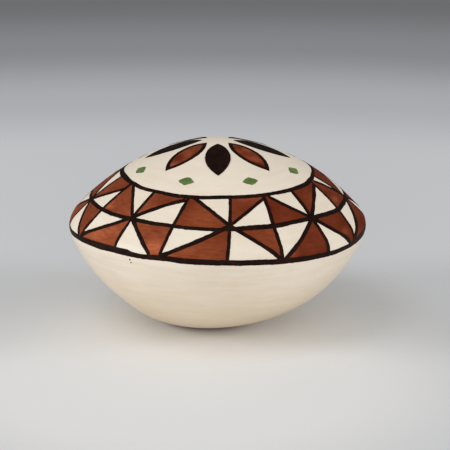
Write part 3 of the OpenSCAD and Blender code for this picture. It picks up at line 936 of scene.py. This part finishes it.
def greenLozenges():
    bm = bmesh.new()
    for place in range(rosette["places"]):
        for vert in flatStrip(bm, rosette["across"], rosette["across"]):
            long, wide = (vert.co.x + vert.co.y) / 2, (vert.co.x - vert.co.y) / 2
            noiseAt = Vector((lozenge["raggedScale"] * long, lozenge["raggedScale"] * wide, place))
            soft = 1 - lozenge["soft"] * max(abs(long), abs(wide)) ** lozenge["cornerPower"]
            soft += lozenge["ragged"] * noise.noise(noiseAt)
            aside = soft * long * lozenge["length"] / 2
            out = lozenge["at"] + soft * wide * lozenge["width"] / 2
            vert.co = onLeaf(place + 0.5, out, aside, coatLift(vert.co.z), lozenge["seed"] + place)
    closeUp(bm)
    finishPiece("greenLozenges", bm, leafGreen, "green_lozenges")


mouthRing = {"r": 4.75, "width": 0.9, "seed": 60}


def mouthLine():
    bm = bmesh.new()
    for vert in flatStrip(bm, 2 * mouth["segments"], brush["across"], isRing=True):
        turn = math.pi * vert.co.x
        out = mouthRing["r"] + vert.co.y * mouthRing["width"] / 2
        out += drift(mouthRing["r"] * (math.pi - abs(turn)), vert.co.y, mouthRing["seed"])
        spot = mouthFrame @ (Vector((math.cos(turn), math.sin(turn), 0)) * out * mm)
        vert.co = onPlan(spot.x / mm, spot.y / mm, paintLift(vert.co.y, vert.co.z))
    closeUp(bm)
    finishPiece("mouthLine", bm, brownBlack, "mouth_line")


darkPetals()
redPetals()
redPetalLines()
greenLozenges()
mouthLine()
print("paint made")


# Stage: a pale floor with a painted pool of light before the pot and painted shade that greys it further off,
# a lamp on each side, a low one in front, one above the left shoulder that lays the soft shadow to the right,
# and even light
stage = {
    "radius": 4000.0, "segments": 128, "drop": 0.05,  # the floor lies a little below the foot
    "reach": 600.0, "paintedLightAt": (-8.0, -52.0),  # the shades spread this far from a place before the pot
    # painted light and shade: the floor's colour is brightest at a place before the pot, a painted shadow
    # makes it a little darker some 84 mm from there, and painted shade greys it far off
    "paintedLightShades": [(0.0, "#eeedeb"), (0.06, "#ebeae9"), (0.14, "#d5d6d7"), (0.2, "#d6d7d9"), (0.4, "#d8d9dc"),
               (0.54, "#c3c4c8"), (0.71, "#9c9da2"), (0.89, "#828385")],
    "finish": {"Roughness": 0.9, "IOR": 1.3},
    "worldLight": 0.48, "worldSeen": "#66676c",
}
lamps = {  # place, size, and level as a share of what makes white paper white
    "left": (Vector((-900, -150, 330)), (400, 400), 0.325),
    "right": (Vector((900, -150, 330)), (400, 400), 0.29),
    "front": (Vector((0, -1150, 220)), (800, 300), 0.245),
    "above": (Vector((-420, -300, 960)), (600, 600), 0.13),
}


# Sheet of matt paper: no gloss; its colour is a painted pool of light, near white before the pot, and painted
# shade, greyer the further it goes
def paperWithPaintedLight():
    material, tree, coords = startMaterial("matt_paper_with_painted_light")
    x, y = stage["paintedLightAt"]
    away = addNode(tree, "ShaderNodeVectorMath", {0: coords, 1: (x * mm, y * mm, 0)}, operation="DISTANCE")
    spread = addNode(tree, "ShaderNodeMapRange", {
        "Value": away.outputs["Value"], "From Min": 0.0, "From Max": stage["reach"] * mm})
    paintedLightRamp = addNode(tree, "ShaderNodeValToRGB", {"Fac": spread.outputs[0]})
    paintedLightRamp.color_ramp.interpolation = "EASE"
    stops = paintedLightRamp.color_ramp.elements
    stops.remove(stops[1])
    for place, shade in stage["paintedLightShades"]:
        stop = stops.new(place) if place else stops[0]
        stop.color = linear(shade)
    endMaterial(tree, addNode(tree, "ShaderNodeBsdfPrincipled", {
        "Base Color": paintedLightRamp.outputs[0], **stage["finish"]}))
    return material


def layFloor():
    bm = bmesh.new()
    bmesh.ops.create_circle(bm, cap_ends=True, segments=stage["segments"], radius=stage["radius"] * mm,
                            matrix=Matrix.Translation((0, 0, -stage["drop"] * mm)))
    mesh = bpy.data.meshes.new("floor")
    bm.to_mesh(mesh)
    bm.free()
    mesh.materials.append(paperWithPaintedLight())
    floor = bpy.data.objects.new("floor", mesh)
    scene.collection.objects.link(floor)


def softLamp(name, place, size, level):
    lamp = bpy.data.objects.new(name, bpy.data.lights.new(name, "AREA"))
    scene.collection.objects.link(lamp)
    lamp.data.shape = "ELLIPSE"
    lamp.data.size, lamp.data.size_y = size[0] * mm, size[1] * mm
    lamp.data.energy = level * math.pi ** 2 * (place * mm).length_squared
    lamp.location = place * mm
    lamp.rotation_euler = (-place).to_track_quat("-Z", "Y").to_euler()


# Even light from all round, which the camera, gloss and glass see as a plain grey
def evenLight():
    world = bpy.data.worlds.new("soft light")
    world.use_nodes = True
    tree = world.node_tree
    tree.nodes.clear()
    path = addNode(tree, "ShaderNodeLightPath")
    seen = addNode(tree, "ShaderNodeMath", {
        0: path.outputs["Is Camera Ray"], 1: path.outputs["Is Glossy Ray"]}, operation="MAXIMUM")
    seen = addNode(tree, "ShaderNodeMath", {
        0: seen.outputs[0], 1: path.outputs["Is Transmission Ray"]}, operation="MAXIMUM")
    light = addNode(tree, "ShaderNodeBackground", {"Color": (1, 1, 1, 1), "Strength": stage["worldLight"]})
    shown = addNode(tree, "ShaderNodeBackground", {"Color": linear(stage["worldSeen"]), "Strength": 1.0})
    mixed = addNode(tree, "ShaderNodeMixShader", {
        0: seen.outputs[0], 1: light.outputs[0], 2: shown.outputs[0]})
    addNode(tree, "ShaderNodeOutputWorld", {"Surface": mixed.outputs[0]})
    scene.world = world


layFloor()
for lampName, (lampPlace, lampSize, lampLevel) in lamps.items():
    softLamp(lampName, lampPlace, lampSize, lampLevel)
evenLight()
print("stage set")
